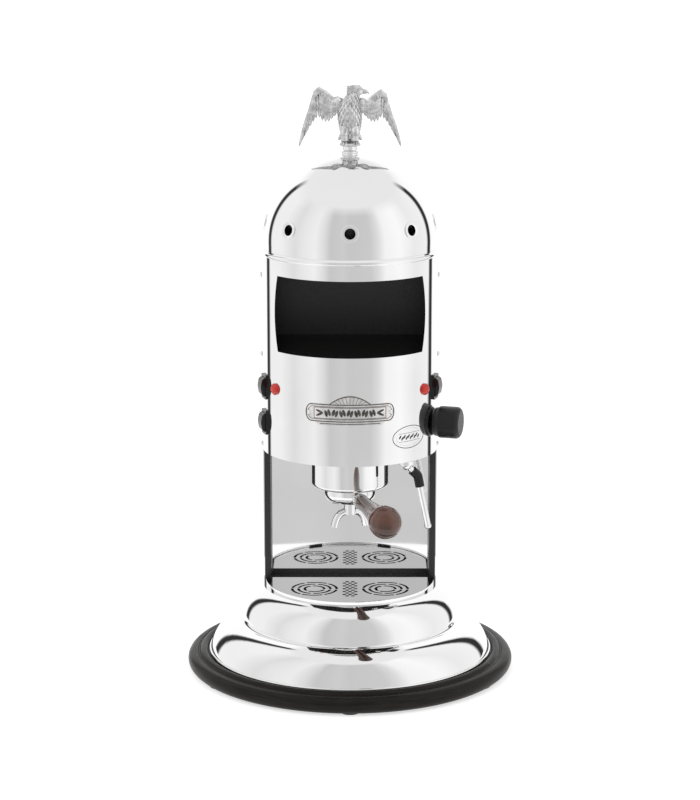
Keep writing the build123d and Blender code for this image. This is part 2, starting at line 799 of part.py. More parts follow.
def filter_basket():
    """Pressed cup that hangs by its rim on the portafilter's edge."""
    outer = cup_radius - cup_wall - 0.4
    floor = basket_rim - basket_depth
    basket = disc(outer, floor, basket_rim) + disc(rim_radius - 0.8, portafilter_top, basket_rim)
    basket -= disc(outer - 0.6, floor + 0.6, basket_rim + 1)
    holes = []
    for count, radius in ((6, 6), (12, 12), (18, 18)):
        holes += ring_of(count, radius, disc(0.8, floor - 1, floor + 2))
    return in_portafilter(basket - holes)


def portafilter_spout():
    """Boss under the cup, and two curved spouts with open tops."""
    tip = bell_bottom - spout_drop
    hub = cup_bottom - 16.0
    boss = disc(7.0, hub, cup_bottom) - disc(2.5, hub + 4, cup_bottom + 1)
    shape = boss
    for side in (-1, 1):
        path = Spline((0, 0, hub + 3), (side * spout_reach * 0.7, 0, hub - 1), (side * spout_reach, 0, tip),
                      tangents=((side, 0, 0.1), (side * 0.25, 0, -1)))
        start = Plane(origin=path @ 0, z_dir=path % 0)
        shape += sweep(start * Circle(4.2), path=path)
        shape -= sweep(start * Circle(2.8), path=path) & block(
            *sorted((side * 4, side * 40)), -10, 10, tip - 5, hub + 8)
    shape = shape & block(-60, 60, -60, 60, tip, cup_bottom)
    return in_portafilter(shape)


def on_handle(shape):
    """Things turned about the handle's axis, drawn with +Z along the handle."""
    return in_portafilter(Pos(0, 0, handle_z) * Rot(90, 0, 0) * shape)


def handle_ferrule():
    ferrule = disc(neck_radius, ferrule_start, ferrule_end) - disc(3.0, ferrule_start - 1, ferrule_end + 1)
    ferrule -= tube(neck_radius + 1, neck_radius - 0.8, ferrule_start + 4.6, ferrule_start + 5.6)
    return on_handle(ferrule)


def portafilter_handle():
    """Turned handle that swells from a narrow neck to a domed bulb."""
    start = ferrule_end
    end = handle_length
    widest = end - 17.0
    handle = turned(
        line((0, start), (neck_radius, start)),
        Spline((neck_radius, start), (neck_radius + 0.3, start + 22), (bulb_radius - 2.6, widest - 16),
               (bulb_radius, widest), tangents=((0, 1), (0, 1))),
        cap(bulb_radius, widest, end),
        line((0, end), (0, start)),
    )
    return on_handle(handle - disc(3.0, start - 1, handle_length * 0.6))


# ---------------------------------------------------------------- steam
def steam_valve():
    """Valve block on the casing's floor, bored for the spindle."""
    block_shape = outward_rod(valve_radius, valve_near, valve_far)
    gland = Pos(0, -valve_far, 0) * Rot(90, 0, 0) * extrude(RegularPolygon(8, 6), 6)
    leg = rod(4, (0, -75, 0), (0, -75, floor_top - knob_z))
    shape = block_shape + gland + leg
    return facing(side_angle, knob_z) * (shape - outward_rod(spindle_radius + running_gap, 70, 100))


def steam_spindle():
    return facing(side_angle, knob_z) * outward_rod(spindle_radius, 70.5, casing_radius + knob_gap + 20)


def steam_knob():
    """Round knob with a domed end, pushed on the spindle."""
    near = casing_radius + knob_gap
    end = near + knob_length
    knob = turned(
        line((0, near), (knob_radius - 2.2, near), (knob_radius - 1.6, near + 3), (knob_radius, near + 6),
             (knob_radius, end - 5)),
        arc((knob_radius, end - 5), (knob_radius - 1.5, end - 1.5), (knob_radius - 5, end)),
        line((knob_radius - 5, end), (0, end), (0, near)),
    )
    knob -= disc(spindle_radius, near - 1, near + 20)
    return facing(side_angle, knob_z) * Rot(90, 0, 0) * knob


def steam_pipe():
    """Pipe from the valve to the wand's fitting, which passes through the casing's floor."""
    start = (ball_xy[0], ball_xy[1], floor_top)
    corner = (ball_xy[0], ball_xy[1], knob_z)
    path_end = (80.0 * sin(radians(side_angle)), -80.0 * cos(radians(side_angle)), knob_z)
    pipe = bent_rod(3.0, [start, corner, path_end], 9.0)
    fitting = disc(nut_stem_radius, floor_bottom - 1.0, floor_top + 6, *ball_xy)
    flange = disc(nut_stem_radius + 3, floor_top, floor_top + 4, *ball_xy)
    valve = facing(side_angle, knob_z) * outward_rod(valve_radius, valve_near, valve_far)
    return (pipe - valve) + fitting + flange


def wand_nut():
    """Round cap that holds the wand's ball from above and turns on the fitting."""
    socket = ball_radius + running_gap
    outer = ball_radius + 3.0
    top = floor_bottom - 1.0
    low = ball_z + 1.0
    mouth = sqrt(socket ** 2 - 1.0)
    nut = turned(
        arc((mouth, low), (socket * sin(radians(45)), ball_z + socket * cos(radians(45))),
            (0, ball_z + socket)),
        line((0, ball_z + socket), (0, top), (outer - 1.5, top), (outer, top - 1.5), (outer, low),
             (mouth, low)),
    )
    return Pos(*ball_xy, 0) * nut


def point_between(start, end, share):
    return tuple(a + (b - a) * share for a, b in zip(start, end))


def steam_wand():
    """Ball and bent tube."""
    axis = Vector(*wand_bend) - Vector(*ball_centre)
    ball = Plane(origin=ball_centre, z_dir=axis) * Sphere(ball_radius)
    tube_end = point_between(wand_bend, wand_end, 0.93)
    return ball + bent_rod(wand_radius, [ball_centre, wand_bend, tube_end], 9.0)


def wand_grip():
    """Heat-proof sleeve over the wand's upper part."""
    start = point_between(ball_centre, wand_bend, 0.52)
    end = point_between(wand_bend, wand_end, 0.2)
    sleeve = bent_rod(wand_grip_radius, [start, wand_bend, end], 5.0)
    return sleeve - steam_wand()


def wand_tip():
    start = point_between(wand_bend, wand_end, 0.93)
    axis = (Vector(*wand_end) - Vector(*wand_bend)).normalized()
    length = (Vector(*wand_end) - Vector(*start)).length
    tip = disc(wand_radius + 0.5, 0, length)
    tip = fillet(tip.faces().sort_by(Axis.Z)[-1].edges(), 2.4)
    return Plane(origin=start, z_dir=axis) * tip


# ---------------------------------------------------------------- switches, lamps and badge
def rocker_bezels():
    """Frames with a body behind the casing, hollow for their rockers."""
    half_width = bezel_width / 2
    half_height = bezel_height / 2
    back = casing_radius - 16
    front = casing_radius + bezel_stand
    flange = block(-half_width, half_width, -front, -casing_radius + 3, -half_height, half_height)
    flange = fillet(flange.edges().filter_by(Axis.Y), 2.0)
    flange -= disc(casing_radius, -30, 30)
    inset = press_depth
    body = block(-half_width + inset, half_width - inset, -front + 1, -back, -half_height + inset,
                 half_height - inset)
    well_width = rocker_width / 2 + slip_gap
    well_height = rocker_height / 2 + slip_gap
    well = block(-well_width, well_width, -front - 1, -back - 2, -well_height, well_height)
    bezel = flange + body - well
    return Compound(children=[facing(angle, height) * bezel for angle, height in switch_places().values()])


def rocker(name):
    """Convex paddle in front of its pivot, and a drum segment behind it."""
    angle, height = switch_places()[name]
    radius = rocker_height / 2
    half = rocker_width / 2
    front = casing_radius + rocker_stand - rocker_pivot
    shoulder = front - 0.8 - rocker_corner
    crown = front - 0.8
    inset = rocker_corner * 0.293
    profile = [
        arc((0, -radius), (-radius * 0.7071, -radius * 0.7071), (-radius * 0.9682, -radius * 0.25)),
        line((-radius * 0.9682, -radius * 0.25), (-radius * 0.9682, radius * 0.25)),
        arc((-radius * 0.9682, radius * 0.25), (-radius * 0.7071, radius * 0.7071), (0, radius)),
        line((0, radius), (shoulder, radius)),
        arc((shoulder, radius), (crown - inset, radius - inset), (crown, radius - rocker_corner)),
        arc((crown, radius - rocker_corner), (front, 0), (crown, -radius + rocker_corner)),
        arc((crown, -radius + rocker_corner), (crown - inset, -radius + inset), (shoulder, -radius)),
        line((shoulder, -radius), (0, -radius)),
    ]
    paddle = Rot(0, 0, -90) * slab(-half, half, *profile)
    return facing(angle, height) * Pos(0, -rocker_pivot, 0) * paddle


def lamp_lenses():
    """Domed lenses pushed through the casing."""
    lens = turned(
        line((0, 86), (lamp_radius - 1, 86), (lamp_radius - 1, casing_radius - 0.2),
             (lamp_radius, casing_radius - 0.2), (lamp_radius, casing_radius + 1.6)),
        cap(lamp_radius, casing_radius + 1.6, casing_radius + 5.4),
        line((0, casing_radius + 5.4), (0, 86)),
    )
    lens = Rot(90, 0, 0) * lens
    shell = disc(casing_radius, -20, 20) - outward_rod(lamp_radius - 1, 80, 110)
    return Compound(children=[facing(angle, height) * (lens - shell) for angle, height in lamp_places()])


def badge_plate():
    """Curved plate: a bar with rounded ends, an arch on top of it and a strip under it."""
    half = badge_width / 2
    middle = casing_bottom + badge_middle
    top = middle + badge_bar_height / 2
    low = middle - badge_bar_height / 2
    shoulder = half - 6.0
    arch = badge_arch_width / 2
    foot = badge_foot_width / 2
    foot_low = low - badge_foot_drop
    plate = slab(
        -casing_radius - 5, -casing_radius + 50,
        line((-shoulder, top), (-arch, top)),
        arc((-arch, top), (0, top + badge_arch_rise), (arch, top)),
        line((arch, top), (shoulder, top)),
        arc((shoulder, top), (half, middle), (shoulder, low)),
        line((shoulder, low), (foot + badge_foot_drop, low), (foot, foot_low), (-foot, foot_low),
             (-foot - badge_foot_drop, low), (-shoulder, low)),
        arc((-shoulder, low), (-half, middle), (-shoulder, top)),
    )
    skin = tube(casing_radius + badge_sheet, casing_radius, casing_bottom, cup_bay_bottom)
    holes = [facing(angle, height) * outward_rod(1.2, 90, 110) for angle, height in rivet_places()]
    return (plate & skin) - holes


def badge_rivets():
    rivets = []
    face = casing_radius + badge_sheet
    for angle, height in rivet_places():
        head = Pos(0, -face + 1.4, 0) * Sphere(3.2) & outward_rod(2.8, face - 0.6, face + 3)
        head -= disc(face, -5, 5)
        shank = outward_rod(1.2, inner_radius - 1, face + 0.5)
        rivets.append(facing(angle, height) * (head + shank))
    return Compound(children=rivets)


# ---------------------------------------------------------------- rear chamber
def vibration_pump():
    """Coil block on a foot plate, with the pump barrel through it."""
    foot = block(-22, 22, pump_y - 14, pump_y + 12, deck_top, deck_top + 3)
    coil = block(-17, 17, pump_y - 17, pump_y + 13, deck_top + 30, deck_top + 66)
    coil = fillet(coil.edges().filter_by(Axis.Z), 3)
    barrel = disc(10, deck_top + 3, deck_top + 94, 0, pump_y)
    return foot + coil + barrel


def solenoid_valve():
    """Coil and body hung from the casing's floor."""
    coil = block(-66, -40, 40, 64, floor_bottom - 36, floor_bottom - 8)
    return fillet(coil.edges().filter_by(Axis.Z), 3) + disc(6, floor_bottom - 44, floor_bottom, -53, 52)


def water_pipes():
    """Suction pipe from the tank to the pump's foot, and feed pipe up to the boiler."""
    suction_x, suction_y = pipe_holes[0]
    suction = bent_rod(3, [(suction_x, suction_y, tank_z), (suction_x, suction_y, deck_top + 15),
                           (0, pump_y, deck_top + 15)], 8)
    feed_x, feed_y = pipe_holes[1]
    top = boiler_shell_z + 30
    feed = bent_rod(3, [(0, pump_y, deck_top + 86), (feed_x, feed_y, deck_top + 86), (feed_x, feed_y, top),
                        (feed_x * 0.6, feed_y * 0.6, top)], 8)
    return Compound(children=[suction - disc(10, deck_top, deck_top + 94, 0, pump_y),
                              feed - disc(10, deck_top, deck_top + 94, 0, pump_y)
                              - disc(boiler_radius, boiler_shell_z, boiler_top)])


def inlet_envelope():
    return facing(180, inlet_z) * block(-inlet_width / 2, inlet_width / 2, -casing_radius - 3,
                                        -casing_radius + 12, -inlet_height / 2, inlet_height / 2)


def mains_inlet():
    """Appliance inlet with three flat pins in its socket."""
    half_width = inlet_width / 2
    half_height = inlet_height / 2
    body = block(-half_width, half_width, -casing_radius - 0.6, -casing_radius + 22, -half_height,
                 half_height)
    flange = block(-half_width - 2, half_width + 2, -casing_radius - 2.0, -casing_radius + 4,
                   -half_height - 2, half_height + 2)
    flange = fillet(flange.edges().filter_by(Axis.Y), 2.0) - disc(casing_radius, -30, 30)
    well = block(-12.3, 12.3, -casing_radius - 5, -casing_radius + 16, -8.5, 8.5)
    pins = [block(x - 1, x + 1, -casing_radius + 4, -casing_radius + 17, z - 2, z + 2)
            for x, z in ((-7, -2), (0, 2), (7, -2))]
    return facing(180, inlet_z) * ((body + flange - well) + pins)


# ---------------------------------------------------------------- assembly
nodes = {
    "rubber_feet": rubber_feet(),
    "base_plinth": base_plinth(),
    "base_plate": base_plate(),
    "base_posts": base_posts(),
    "base_cover": base_cover(),
    "base_deck": base_deck(),
    "drip_tray": drip_tray(),
    "drip_grid": drip_grid(),
    "left_upright": upright(-1) - screw_holes(),
    "right_upright": upright(1) - screw_holes(),
    "splash_panel": splash_panel(),
    "splash_seal": splash_seal(),
    "rear_shell": rear_shell(),
    "front_shell": front_shell(),
    "shell_screws": shell_screws(),
    "body_floor": body_floor(),
    "cup_shelf": cup_shelf(),
    "cup_bay_liner": cup_bay_liner(),
    "tank_shelf": tank_shelf(),
    "top_ring": top_ring(),
    "dome": dome(),
    "porthole_eyelets": porthole_eyelets(),
    "finial_stem": finial_stem(),
    "eagle_finial": eagle_finial(),
    "water_tank": water_tank(),
    "tank_lid": tank_lid(),
    "boiler": boiler(),
    "boiler_flange": boiler_flange(),
    "boiler_bolts": boiler_bolts(),
    "heating_element": heating_element(),
    "pressurestat": pressurestat(),
    "safety_valve": safety_valve(),
    "group_body": group_body(),
    "group_bell": group_bell(),
    "group_gasket": group_gasket(),
    "shower_screen": shower_screen(),
    "portafilter_body": portafilter_body(),
    "filter_basket": filter_basket(),
    "portafilter_spout": portafilter_spout(),
    "handle_ferrule": handle_ferrule(),
    "portafilter_handle": portafilter_handle(),
    "steam_valve": steam_valve(),
    "steam_spindle": steam_spindle(),
    "steam_knob": steam_knob(),
    "steam_pipe": steam_pipe(),
    "wand_nut": wand_nut(),
    "steam_wand": steam_wand(),
    "wand_grip": wand_grip(),
    "wand_tip": wand_tip(),
    "rocker_bezels": rocker_bezels(),
    "power_rocker": rocker("power_rocker"),
    "pump_rocker": rocker("pump_rocker"),
    "boiler_rocker": rocker("boiler_rocker"),
    "lamp_lenses": lamp_lenses(),
    "badge_plate": badge_plate(),
    "badge_rivets": badge_rivets(),
    "vibration_pump": vibration_pump(),
    "solenoid_valve": solenoid_valve(),
    "water_pipes": water_pipes(),
    "mains_inlet": mains_inlet(),
}

os.makedirs("parts", exist_ok=True)
for name, shape in nodes.items():
    export_step(shape, f"parts/{name}.step")
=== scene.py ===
"""Looks of the upright espresso machine: camera, studio, finishes, cast eagle and badge relief."""
import json
import math

import bpy
import bmesh
from mathutils import Matrix, Vector


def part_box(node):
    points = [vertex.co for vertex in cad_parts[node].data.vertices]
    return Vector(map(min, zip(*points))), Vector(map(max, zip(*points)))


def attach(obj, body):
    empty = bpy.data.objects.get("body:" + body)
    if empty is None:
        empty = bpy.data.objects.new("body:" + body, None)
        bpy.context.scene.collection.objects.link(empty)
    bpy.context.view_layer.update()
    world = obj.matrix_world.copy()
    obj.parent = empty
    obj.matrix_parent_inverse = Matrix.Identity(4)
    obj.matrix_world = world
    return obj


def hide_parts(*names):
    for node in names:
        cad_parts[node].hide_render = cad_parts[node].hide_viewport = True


MM = 0.001
WALL_GLOW = 1.25          # strength of the reflector's walls and ceiling
CEILING_GREY = (0.78, 0.78, 0.78, 1.0)

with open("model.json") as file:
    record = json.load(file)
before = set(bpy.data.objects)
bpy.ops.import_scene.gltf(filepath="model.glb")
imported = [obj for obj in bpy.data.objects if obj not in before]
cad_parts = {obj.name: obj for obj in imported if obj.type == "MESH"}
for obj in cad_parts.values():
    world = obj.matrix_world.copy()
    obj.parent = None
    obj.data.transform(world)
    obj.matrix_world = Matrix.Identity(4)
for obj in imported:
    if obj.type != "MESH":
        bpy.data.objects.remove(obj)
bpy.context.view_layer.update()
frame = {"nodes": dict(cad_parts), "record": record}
nodes = frame["nodes"]


# ---------------------------------------------------------------- camera
def add_camera():
    """Long lens, with the place and tilt that fit the base, drum and dome in the photograph."""
    tilt_down = 12.24
    data = bpy.data.cameras.new("camera")
    data.sensor_width = 36.0
    data.lens = 109.0
    data.clip_end = 100.0
    camera = bpy.data.objects.new("camera", data)
    camera.location = (0.0, -2.6556, 0.8848)
    camera.rotation_euler = (math.radians(90.0 - tilt_down), 0.0, 0.0)
    bpy.context.scene.collection.objects.link(camera)
    bpy.context.scene.camera = camera


# ---------------------------------------------------------------- studio
def link(tree, source, target):
    tree.links.new(source, target)


def math_node(tree, operation, first, second):
    node = tree.nodes.new("ShaderNodeMath")
    node.operation = operation
    for socket, value in zip(node.inputs, (first, second)):
        if isinstance(value, (int, float)):
            socket.default_value = value
        else:
            link(tree, value, socket)
    return node.outputs[0]


def ramp_node(tree, factor, stops):
    """Colour ramp of greys or colours, stops as (place, colour)."""
    ramp = tree.nodes.new("ShaderNodeValToRGB")
    link(tree, factor, ramp.inputs[0])
    elements = ramp.color_ramp.elements
    while len(elements) < len(stops):
        elements.new(0.5)
    for element, (place, colour) in zip(elements, stops):
        element.position = place
        if isinstance(colour, (int, float)):
            colour = (colour, colour, colour)
        element.color = (*colour, 1.0)
    return ramp.outputs[0]


def add_world():
    """Even white light from all round."""
    world = bpy.data.worlds.new("studio")
    bpy.context.scene.world = world
    world.use_nodes = True
    background = world.node_tree.nodes["Background"]
    background.inputs["Color"].default_value = (0.97, 0.97, 0.97, 1.0)
    background.inputs["Strength"].default_value = 1.0


def glow_material(name):
    """Material that only shines, with its tree and its emission node."""
    material = bpy.data.materials.new(name)
    material.use_nodes = True
    tree = material.node_tree
    tree.nodes.remove(tree.nodes["Principled BSDF"])
    glow = tree.nodes.new("ShaderNodeEmission")
    glow.inputs["Strength"].default_value = WALL_GLOW
    link(tree, glow.outputs[0], tree.nodes["Material Output"].inputs["Surface"])
    return material, tree, glow


def wall_material():
    """Greys by the direction from the machine's axis, fading to the ceiling's grey at the top."""
    fade_from = 0.82
    fade_to = 1.0
    material, tree, glow = glow_material("studio_reflector")
    coordinates = tree.nodes.new("ShaderNodeTexCoord")
    split = tree.nodes.new("ShaderNodeSeparateXYZ")
    link(tree, coordinates.outputs["Object"], split.inputs[0])
    east, north, up = split.outputs
    azimuth = math_node(tree, "ARCTAN2", east, math_node(tree, "MULTIPLY", north, -1.0))
    turn = math_node(tree, "ADD", math_node(tree, "DIVIDE", azimuth, 2 * math.pi), 0.5)
    # degrees from the front, positive to the right, and the grey there
    walls = [
        (-180, 0.95), (-128, 0.95), (-125, 0.03), (-119, 0.03), (-116, 0.84), (-92, 0.84), (-70, 0.70),
        (-60, 0.76), (-42, 0.83), (-31, 0.70), (-23, 0.55), (-8, 0.59), (0, 0.555), (12, 0.56), (24, 0.57),
        (33, 0.68), (42, 0.86), (62, 0.92), (85, 0.80), (112, 0.86), (115, 0.03), (121, 0.03), (124, 0.95),
        (180, 0.95),
    ]
    grey = ramp_node(tree, turn, [(angle / 360 + 0.5, value) for angle, value in walls])
    fade = ramp_node(tree, up, [(fade_from, 0.0), (fade_to, 1.0)])
    mix = tree.nodes.new("ShaderNodeMix")
    mix.data_type = "RGBA"
    link(tree, fade, mix.inputs[0])
    link(tree, grey, mix.inputs[6])
    mix.inputs[7].default_value = CEILING_GREY
    link(tree, mix.outputs[2], glow.inputs["Color"])
    return material


def ceiling_material():
    material, _, glow = glow_material("studio_ceiling")
    glow.inputs["Color"].default_value = CEILING_GREY
    return material


def add_reflector():
    """Ring of studio walls seen only in reflections: grey in front, dark gaps behind each side."""
    mesh = bpy.data.meshes.new("studio_reflector")
    bm = bmesh.new()
    radius = 0.45
    heights = (0.002, 1.0, 1.3)
    steps = 96
    turns = [2 * math.pi * n / steps for n in range(steps)]
    rings = [[bm.verts.new((radius * math.sin(turn), -radius * math.cos(turn), height)) for turn in turns]
             for height in heights]
    for low, high in zip(rings, rings[1:]):
        for n in range(steps):
            m = (n + 1) % steps
            bm.faces.new((low[n], low[m], high[m], high[n]))
    ceiling = bm.faces.new(rings[-1])
    ceiling.material_index = 1
    bm.to_mesh(mesh)
    bm.free()
    mesh.materials.append(wall_material())
    mesh.materials.append(ceiling_material())
    ring = bpy.data.objects.new("studio_reflector", mesh)
    bpy.context.scene.collection.objects.link(ring)
    ring.visible_camera = False
    ring.visible_diffuse = False
    ring.visible_shadow = False
    ring.visible_transmission = False


def add_floor():
    """Pale floor that runs out of the picture."""
    mesh = bpy.data.meshes.new("studio_floor")
    half = 30.0
    corners = [(-half, -half, 0), (half, -half, 0), (half, half, 0), (-half, half, 0)]
    mesh.from_pydata(corners, [], [(0, 1, 2, 3)])
    floor = bpy.data.objects.new("studio_floor", mesh)
    bpy.context.scene.collection.objects.link(floor)
    material = bpy.data.materials.new("studio_floor")
    material.use_nodes = True
    shader = material.node_tree.nodes["Principled BSDF"]
    shader.inputs["Base Color"].default_value = (0.6, 0.6, 0.6, 1.0)
    shader.inputs["Roughness"].default_value = 0.9
    shader.inputs["Emission Color"].default_value = (1.0, 1.0, 1.0, 1.0)
    shader.inputs["Emission Strength"].default_value = 0.6
    mesh.materials.append(material)


def add_key_light():
    """Large soft light above the front left, kept out of reflections."""
    data = bpy.data.lights.new("key", "AREA")
    data.shape = "RECTANGLE"
    data.size = 1.6
    data.size_y = 1.2
    data.energy = 18.0
    light = bpy.data.objects.new("key", data)
    light.location = (-1.6, -2.2, 2.4)
    aim = Vector((0.0, 0.0, 0.35)) - light.location
    light.rotation_euler = aim.to_track_quat("-Z", "Y").to_euler()
    light.visible_glossy = False
    bpy.context.scene.collection.objects.link(light)


# ---------------------------------------------------------------- finishes
def noise_node(tree, scale, stretch):
    coordinates = tree.nodes.new("ShaderNodeTexCoord")
    mapping = tree.nodes.new("ShaderNodeMapping")
    mapping.inputs["Scale"].default_value = stretch
    noise = tree.nodes.new("ShaderNodeTexNoise")
    noise.inputs["Scale"].default_value = scale
    noise.inputs["Detail"].default_value = 3.0
    link(tree, coordinates.outputs["Object"], mapping.inputs["Vector"])
    link(tree, mapping.outputs["Vector"], noise.inputs["Vector"])
    return noise.outputs["Fac"]


def finish(name, colours, roughness, metallic=0.0, grain=200.0, stretch=(1, 1, 1), bump=0.0, coat=0.0,
           transmission=0.0, shine=0.5):
    """Principled material: noise runs colour and roughness from low to high, and bump adds its relief."""
    material = bpy.data.materials.new(name)
    material.use_nodes = True
    tree = material.node_tree
    shader = tree.nodes["Principled BSDF"]
    shader.inputs["Metallic"].default_value = metallic
    shader.inputs["Coat Weight"].default_value = coat
    shader.inputs["Coat Roughness"].default_value = 0.04
    shader.inputs["Transmission Weight"].default_value = transmission
    shader.inputs["IOR"].default_value = 1.5
    shader.inputs["Specular IOR Level"].default_value = shine
    noise = noise_node(tree, grain, stretch)
    colour = ramp_node(tree, noise, [(0.30, colours[0]), (0.70, colours[1])])
    link(tree, colour, shader.inputs["Base Color"])
    spread = ramp_node(tree, noise, [(0.30, roughness[0]), (0.70, roughness[1])])
    link(tree, spread, shader.inputs["Roughness"])
    if bump:
        relief = tree.nodes.new("ShaderNodeBump")
        relief.inputs["Strength"].default_value = bump
        relief.inputs["Distance"].default_value = 0.0003
        link(tree, noise, relief.inputs["Height"])
        link(tree, relief.outputs["Normal"], shader.inputs["Normal"])
    return material


FINISHES = {
    "polished_steel": finish("chrome_polished", ((0.80, 0.80, 0.80), (0.84, 0.84, 0.84)), (0.02, 0.05),
                             metallic=1.0, grain=14.0),
    "black_wood": finish("lacquered_wood", ((0.005, 0.004, 0.003), (0.014, 0.011, 0.009)), (0.30, 0.42),
                         grain=40.0, stretch=(1, 1, 14), bump=0.25, shine=0.14),
    "brown_bakelite": finish("brown_bakelite", ((0.012, 0.004, 0.002), (0.100, 0.034, 0.018)), (0.06, 0.12),
                             grain=30.0, stretch=(1, 0.35, 1), coat=0.2, transmission=0.05, shine=0.6),
    "black_plastic": finish("satin_black", ((0.004, 0.004, 0.004), (0.008, 0.008, 0.008)), (0.30, 0.40),
                            grain=900.0, bump=0.2, shine=0.3),
    "black_gloss": finish("gloss_black", ((0.003, 0.003, 0.003), (0.006, 0.006, 0.006)), (0.16, 0.24),
                          grain=60.0, shine=0.35),
    "red_lens": finish("red_lens", ((0.42, 0.006, 0.003), (0.62, 0.020, 0.008)), (0.08, 0.14),
                       grain=300.0, coat=0.4, transmission=0.15, shine=0.4),
    "cast_chrome": finish("chrome_cast", ((0.46, 0.46, 0.46), (0.86, 0.86, 0.86)), (0.05, 0.16),
                          metallic=1.0, grain=160.0, bump=0.25),
    "badge_silver": finish("engraved_silver", ((0.62, 0.60, 0.59), (0.80, 0.78, 0.77)), (0.18, 0.30),
                           metallic=1.0, grain=160.0, bump=0.15),
    "dark_paint": finish("black_enamel", ((0.005, 0.004, 0.004), (0.012, 0.010, 0.009)), (0.30, 0.42),
                         grain=500.0, bump=0.2),
    "zinc_steel": finish("zinc_steel", ((0.42, 0.42, 0.43), (0.60, 0.60, 0.61)), (0.30, 0.45),
                         metallic=1.0, grain=90.0, bump=0.1),
    "brass": finish("raw_brass", ((0.52, 0.36, 0.15), (0.72, 0.54, 0.27)), (0.25, 0.40),
                    metallic=1.0, grain=70.0, bump=0.1),
    "stainless": finish("satin_stainless", ((0.50, 0.50, 0.49), (0.66, 0.66, 0.65)), (0.22, 0.34),
                        metallic=1.0, grain=120.0, stretch=(1, 1, 8), bump=0.1),
    "rubber": finish("moulded_rubber", ((0.010, 0.010, 0.010), (0.022, 0.022, 0.022)), (0.65, 0.80),
                     grain=600.0, bump=0.3),
    "tank_plastic": finish("tank_plastic", ((0.030, 0.028, 0.026), (0.060, 0.056, 0.052)), (0.30, 0.42),
                           grain=400.0, bump=0.15),
}
RELIEF = finish("badge_dark_line", ((0.05, 0.045, 0.04), (0.14, 0.13, 0.12)), (0.25, 0.38),
                metallic=1.0, grain=220.0)


def dress_nodes():
    """Every CAD node gets the finish of its slot."""
    for entry in frame["record"]["subparts"]:
        obj = nodes[entry["node"]]
        material = FINISHES[entry["material_slot"]]
        for slot in obj.material_slots:
            slot.material = material
        if not obj.material_slots:
            obj.data.materials.append(material)


# ---------------------------------------------------------------- mesh helpers
def new_object(name, bm, body, slot):
    """Finished piece from a bmesh: shaded smooth, given its finish and carried by a body."""
    bmesh.ops.recalc_face_normals(bm, faces=bm.faces)
    mesh = bpy.data.meshes.new(name)
    bm.to_mesh(mesh)
    bm.free()
    for polygon in mesh.polygons:
        polygon.use_smooth = True
    obj = bpy.data.objects.new(name, mesh)
    bpy.context.scene.collection.objects.link(obj)
    mesh.materials.append(FINISHES[slot])
    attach(obj, body)
    return obj


def add_loft(bm, sections, around):
    """Closed skin through rings, each given as its centre and two half-axis vectors."""
    rings = []
    for centre, side, front in sections:
        ring = []
        for n in range(around):
            angle = 2 * math.pi * n / around
            ring.append(bm.verts.new(centre + side * math.cos(angle) + front * math.sin(angle)))
        rings.append(ring)
    for first, second in zip(rings, rings[1:]):
        for n in range(around):
            m = (n + 1) % around
            bm.faces.new((first[n], first[m], second[m], second[n]))
    bm.faces.new(list(reversed(rings[0])))
    bm.faces.new(rings[-1])


def add_feather(bm, root, tip, width, face, thick=0.9, curl=0.0, steps=12):
    """Leaf-shaped feather with a raised quill and a notched edge.  face points out of its upper side."""
    along = tip - root
    length = along.length
    along.normalize()
    side = along.cross(face).normalized()
    out = side.cross(along).normalized()
    rows = []
    for n in range(steps + 1):
        u = n / steps
        half = width / 2 * (math.sin(math.pi * (0.14 + 0.84 * u)) ** 0.55) * (1.0 if u < 0.999 else 0.35)
        notch = 0.93 if n % 2 else 1.0
        lift = curl * u * u
        centre = root + along * length * u + out * lift
        body = thick * (1.0 - 0.6 * u)
        profile = ((-half * notch, 0.0), (-half * 0.5, body * 0.45), (0.0, body), (half * 0.5, body * 0.45),
                   (half * notch, 0.0), (0.0, -body * 0.5))
        rows.append([bm.verts.new(centre + side * x + out * y) for x, y in profile])
    for first, second in zip(rows, rows[1:]):
        count = len(first)
        for n in range(count):
            m = (n + 1) % count
            bm.faces.new((first[n], first[m], second[m], second[n]))
    bm.faces.new(rows[0])
    bm.faces.new(list(reversed(rows[-1])))


def add_tube(bm, points, radii, around=10):
    """Round tube through points, with its own radius at each."""
    sections = []
    for n, (point, radius) in enumerate(zip(points, radii)):
        ahead = points[min(n + 1, len(points) - 1)] - points[max(n - 1, 0)]
        ahead.normalize()
        guide = Vector((0, 1, 0)) if abs(ahead.y) < 0.9 else Vector((1, 0, 0))
        side = ahead.cross(guide).normalized()
        front = side.cross(ahead).normalized()
        sections.append((point, side * radius, front * radius))
    add_loft(bm, sections, around)


def mix_points(first, second, share):
    return first + (second - first) * share


# ---------------------------------------------------------------- eagle
def eagle_spine():
    """Rings of the eagle's trunk and neck, in millimetres above the stem."""
    rings = [
        (0.0, 2.0, 8.0, 7.0, 6.5), (0.0, 1.6, 13.0, 10.0, 8.6), (0.0, 1.0, 20.0, 11.6, 10.2),
        (0.0, 0.4, 28.0, 12.8, 11.4), (-0.4, 0.0, 36.0, 13.2, 11.8), (-0.4, 0.0, 43.0, 12.2, 10.8),
        (0.6, -0.4, 49.0, 9.8, 8.8), (2.6, -1.0, 54.0, 7.4, 7.0), (4.8, -1.6, 58.4, 6.2, 6.0),
    ]
    return [(Vector((x, y, z)), rx, ry) for x, y, z, rx, ry in rings]


